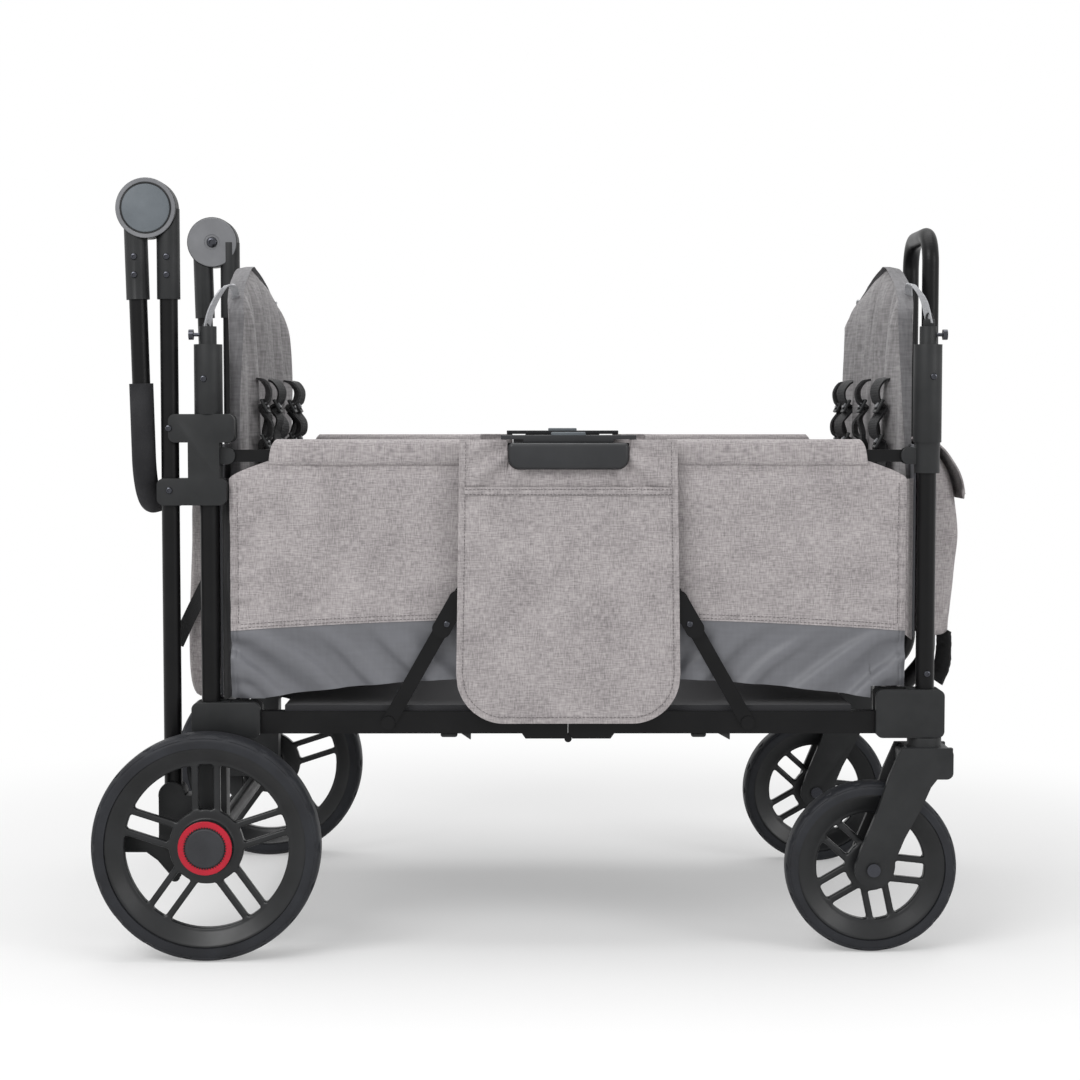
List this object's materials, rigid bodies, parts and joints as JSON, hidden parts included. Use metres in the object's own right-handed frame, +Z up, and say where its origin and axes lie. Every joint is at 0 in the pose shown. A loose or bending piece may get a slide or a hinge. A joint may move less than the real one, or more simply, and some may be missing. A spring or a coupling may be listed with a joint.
{
  "type": "folding stroller wagon",
  "caption": "Folding stroller wagon with facing bench seats, fabric sides, swivel front casters, large spoked rear wheels and a swing-down push handle.",
  "frame": {"origin": "on the ground under the middle of the whole outline", "axes": "+X from the push handle end to the caster end, +Y to the wagon's left, +Z up"},
  "size_m": [1.1806, 0.748, 1.04],
  "materials": {
    "painted_tube": "satin black powder coat",
    "black_plastic": "fine moulded grain",
    "tyre": "matte foam rubber with shoulder notches",
    "wheel_plastic": "satin moulded",
    "red_ring": "satin red moulded",
    "grey_button": "fine moulded grain",
    "heather_fabric": "heathered plain weave",
    "smooth_fabric": "smooth coated cloth",
    "foam_grip": "matte closed-cell foam",
    "steel": "zinc-plated steel",
    "floor_board": "cloth-covered board"
  },
  "bodies": {
    "rear_frame": {"rear_axle": "steel", "rear_posts": "painted_tube", "handle_posts": "painted_tube", "rear_knuckles": "black_plastic", "rear_brackets": "black_plastic", "handle_clamps": "black_plastic", "rear_sockets": "black_plastic", "rear_crossbars": "painted_tube", "hinge_bases": "black_plastic", "rear_seat_back": "heather_fabric", "rear_seat_pad": "smooth_fabric", "side_panel_right": "heather_fabric", "side_panel_left": "heather_fabric", "rear_pocket": "heather_fabric"},
    "push_handle": {"push_handle_tube": "painted_tube", "handle_grip": "foam_grip", "hinge_arms": "black_plastic"},
    "rear_rail": {"rear_rails": "painted_tube", "rear_floor": "floor_board"},
    "front_rail": {"front_rails": "painted_tube", "front_floor": "floor_board"},
    "rear_top_rail": {"rear_top_rails": "painted_tube"},
    "front_top_rail": {"front_top_rails": "painted_tube"},
    "side_hub": {"side_hubs": "black_plastic"},
    "rear_brace_lower": {"rear_lower_braces": "painted_tube"},
    "rear_brace_upper": {"rear_upper_braces": "black_plastic"},
    "front_brace_lower": {"front_lower_braces": "painted_tube"},
    "front_brace_upper": {"front_upper_braces": "black_plastic"},
    "front_frame": {"front_posts": "painted_tube", "front_brackets": "black_plastic", "front_sockets": "black_plastic", "front_handle": "painted_tube", "front_crossbars": "painted_tube", "front_seat_back": "heather_fabric", "front_seat_pad": "smooth_fabric", "front_pouch": "heather_fabric"},
    "hinge_button_right": {"hinge_button_right": "grey_button"},
    "hub_button_right": {"hub_button_right": "grey_button"},
    "pull_pin_rear_right": {"pull_pin_rear_right": "black_plastic"},
    "pull_pin_front_right": {"pull_pin_front_right": "black_plastic"},
    "rear_wheel_right": {"rear_tyre_right": "tyre", "rear_rim_right": "wheel_plastic", "rear_hub_ring_right": "red_ring", "rear_hub_cap_right": "black_plastic"},
    "caster_right": {"caster_fork_right": "black_plastic", "caster_bolt_right": "steel"},
    "front_wheel_right": {"front_tyre_right": "tyre", "front_rim_right": "wheel_plastic"},
    "hinge_button_left": {"hinge_button_left": "grey_button"},
    "hub_button_left": {"hub_button_left": "grey_button"},
    "pull_pin_rear_left": {"pull_pin_rear_left": "black_plastic"},
    "pull_pin_front_left": {"pull_pin_front_left": "black_plastic"},
    "rear_wheel_left": {"rear_tyre_left": "tyre", "rear_rim_left": "wheel_plastic", "rear_hub_ring_left": "red_ring", "rear_hub_cap_left": "black_plastic"},
    "caster_left": {"caster_fork_left": "black_plastic", "caster_bolt_left": "steel"},
    "front_wheel_left": {"front_tyre_left": "tyre", "front_rim_left": "wheel_plastic"}
  },
  "joints": [
    {"name": "fold", "type": "hinge", "parent": "rear_frame", "child": "rear_rail", "pos_m": [-0.39775, 0, 0.312], "axis": [0, -1, 0], "range_deg": [0, 70], "deforming": ["side_panel_right", "side_panel_left", "rear_seat_pad", "front_seat_pad"]},
    {"name": "centre_hinge", "type": "hinge", "parent": "rear_rail", "child": "front_rail", "pos_m": [0.04425, 0, 0.29], "axis": [0, -1, 0], "range_deg": [-140, 0]},
    {"name": "front_corner_hinge", "type": "hinge", "parent": "front_rail", "child": "front_frame", "pos_m": [0.48625, 0, 0.312], "axis": [0, -1, 0], "range_deg": [0, 70]},
    {"name": "rear_top_hinge", "type": "hinge", "parent": "rear_frame", "child": "rear_top_rail", "pos_m": [-0.41375, 0, 0.671], "axis": [0, -1, 0], "range_deg": [0, 70]},
    {"name": "hub_level", "type": "hinge", "parent": "rear_top_rail", "child": "side_hub", "pos_m": [0.02825, 0, 0.649], "axis": [0, -1, 0], "range_deg": [-70, 0]},
    {"name": "front_top_hinge", "type": "hinge", "parent": "front_frame", "child": "front_top_rail", "pos_m": [0.50225, 0, 0.671], "axis": [0, -1, 0], "range_deg": [-70, 0]},
    {"name": "rear_brace_lower_swing", "type": "hinge", "parent": "rear_rail", "child": "rear_brace_lower", "pos_m": [-0.19775, 0, 0.312], "axis": [0, -1, 0], "range_deg": [-46.5, 0]},
    {"name": "front_brace_lower_swing", "type": "hinge", "parent": "front_rail", "child": "front_brace_lower", "pos_m": [0.28625, 0, 0.312], "axis": [0, -1, 0], "range_deg": [0, 46.5]},
    {"name": "rear_brace_upper_swing", "type": "hinge", "parent": "side_hub", "child": "rear_brace_upper", "pos_m": [0.00425, 0, 0.668], "axis": [0, -1, 0], "range_deg": [0, 23.51]},
    {"name": "front_brace_upper_swing", "type": "hinge", "parent": "side_hub", "child": "front_brace_upper", "pos_m": [0.08425, 0, 0.668], "axis": [0, -1, 0], "range_deg": [-23.51, 0]},
    {"name": "handle_fold", "type": "hinge", "parent": "rear_frame", "child": "push_handle", "pos_m": [-0.51675, 0, 1], "axis": [0, 1, 0], "range_deg": [0, 140]},
    {"name": "hinge_button_right_press", "type": "slide", "parent": "push_handle", "child": "hinge_button_right", "axis": [0, 1, 0], "range_m": [0, 0.003], "stiffness_N_per_m": 600, "springref_m": -0.003},
    {"name": "hub_button_right_press", "type": "slide", "parent": "side_hub", "child": "hub_button_right", "axis": [0, 0, -1], "range_m": [0, 0.004], "stiffness_N_per_m": 600, "springref_m": -0.004},
    {"name": "pull_pin_rear_right_pull", "type": "slide", "parent": "rear_frame", "child": "pull_pin_rear_right", "axis": [-1, 0, 0], "range_m": [0, 0.006], "stiffness_N_per_m": 400, "springref_m": -0.006},
    {"name": "pull_pin_front_right_pull", "type": "slide", "parent": "front_frame", "child": "pull_pin_front_right", "axis": [1, 0, 0], "range_m": [0, 0.006], "stiffness_N_per_m": 400, "springref_m": -0.006},
    {"name": "rear_wheel_right_spin", "type": "hinge", "parent": "rear_frame", "child": "rear_wheel_right", "pos_m": [-0.43775, -0.351, 0.1525], "axis": [0, 1, 0], "continuous": true},
    {"name": "caster_right_swivel", "type": "hinge", "parent": "front_frame", "child": "caster_right", "pos_m": [0.52625, -0.3, 0.3], "axis": [0, 0, 1], "continuous": true},
    {"name": "front_wheel_right_spin", "type": "hinge", "parent": "caster_right", "child": "front_wheel_right", "pos_m": [0.45425, -0.3, 0.1155], "axis": [0, 1, 0], "continuous": true},
    {"name": "hinge_button_left_press", "type": "slide", "parent": "push_handle", "child": "hinge_button_left", "axis": [0, -1, 0], "range_m": [0, 0.003], "stiffness_N_per_m": 600, "springref_m": -0.003},
    {"name": "hub_button_left_press", "type": "slide", "parent": "side_hub", "child": "hub_button_left", "axis": [0, 0, -1], "range_m": [0, 0.004], "stiffness_N_per_m": 600, "springref_m": -0.004},
    {"name": "pull_pin_rear_left_pull", "type": "slide", "parent": "rear_frame", "child": "pull_pin_rear_left", "axis": [-1, 0, 0], "range_m": [0, 0.006], "stiffness_N_per_m": 400, "springref_m": -0.006},
    {"name": "pull_pin_front_left_pull", "type": "slide", "parent": "front_frame", "child": "pull_pin_front_left", "axis": [1, 0, 0], "range_m": [0, 0.006], "stiffness_N_per_m": 400, "springref_m": -0.006},
    {"name": "rear_wheel_left_spin", "type": "hinge", "parent": "rear_frame", "child": "rear_wheel_left", "pos_m": [-0.43775, 0.351, 0.1525], "axis": [0, 1, 0], "continuous": true},
    {"name": "caster_left_swivel", "type": "hinge", "parent": "front_frame", "child": "caster_left", "pos_m": [0.52625, 0.3, 0.3], "axis": [0, 0, 1], "continuous": true},
    {"name": "front_wheel_left_spin", "type": "hinge", "parent": "caster_left", "child": "front_wheel_left", "pos_m": [0.45425, 0.3, 0.1155], "axis": [0, 1, 0], "continuous": true}
  ],
  "couplings": [
    {"joint": "centre_hinge", "follows": "fold", "ratio": -2},
    {"joint": "front_corner_hinge", "follows": "fold", "ratio": 1},
    {"joint": "rear_top_hinge", "follows": "fold", "ratio": 1},
    {"joint": "hub_level", "follows": "fold", "ratio": -1},
    {"joint": "front_top_hinge", "follows": "fold", "ratio": -1},
    {"joint": "rear_brace_lower_swing", "follows": "fold", "ratio": -0.6642},
    {"joint": "front_brace_lower_swing", "follows": "fold", "ratio": 0.6642},
    {"joint": "rear_brace_upper_swing", "follows": "fold", "ratio": 0.3358},
    {"joint": "front_brace_upper_swing", "follows": "fold", "ratio": -0.3358}
  ]
}
